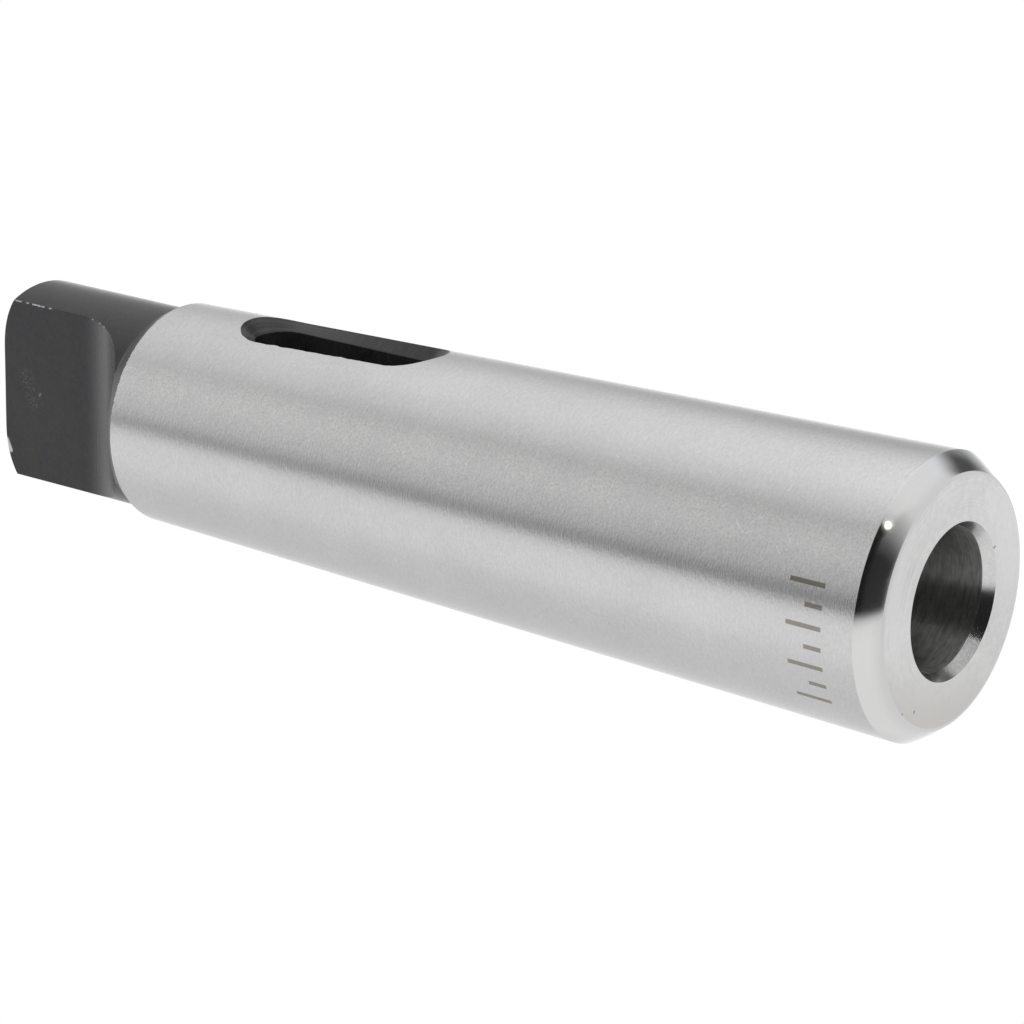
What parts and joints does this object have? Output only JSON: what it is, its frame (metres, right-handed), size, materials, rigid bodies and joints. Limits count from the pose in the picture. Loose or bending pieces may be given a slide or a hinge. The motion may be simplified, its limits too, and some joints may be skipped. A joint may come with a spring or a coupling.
{
  "type": "morse taper sleeve",
  "caption": "Drill sleeve with a self-holding taper outside, a smaller taper socket inside, a drift slot through it and a flatted tang at its small end.",
  "frame": {"origin": "centre of the flat face at the large end, on the axis", "axes": "+Z along the axis from the socket's mouth to the end of the tang; the drift slot runs through along X; the tang's flats face +Y and -Y"},
  "size_m": [0.024, 0.024, 0.099],
  "materials": {
    "ground_steel": "ground bright on the taper and the large end, black oxide on the neck, the tang and in the drift slot"
  },
  "bodies": {
    "root": {"sleeve": "ground_steel"}
  },
  "joints": []
}
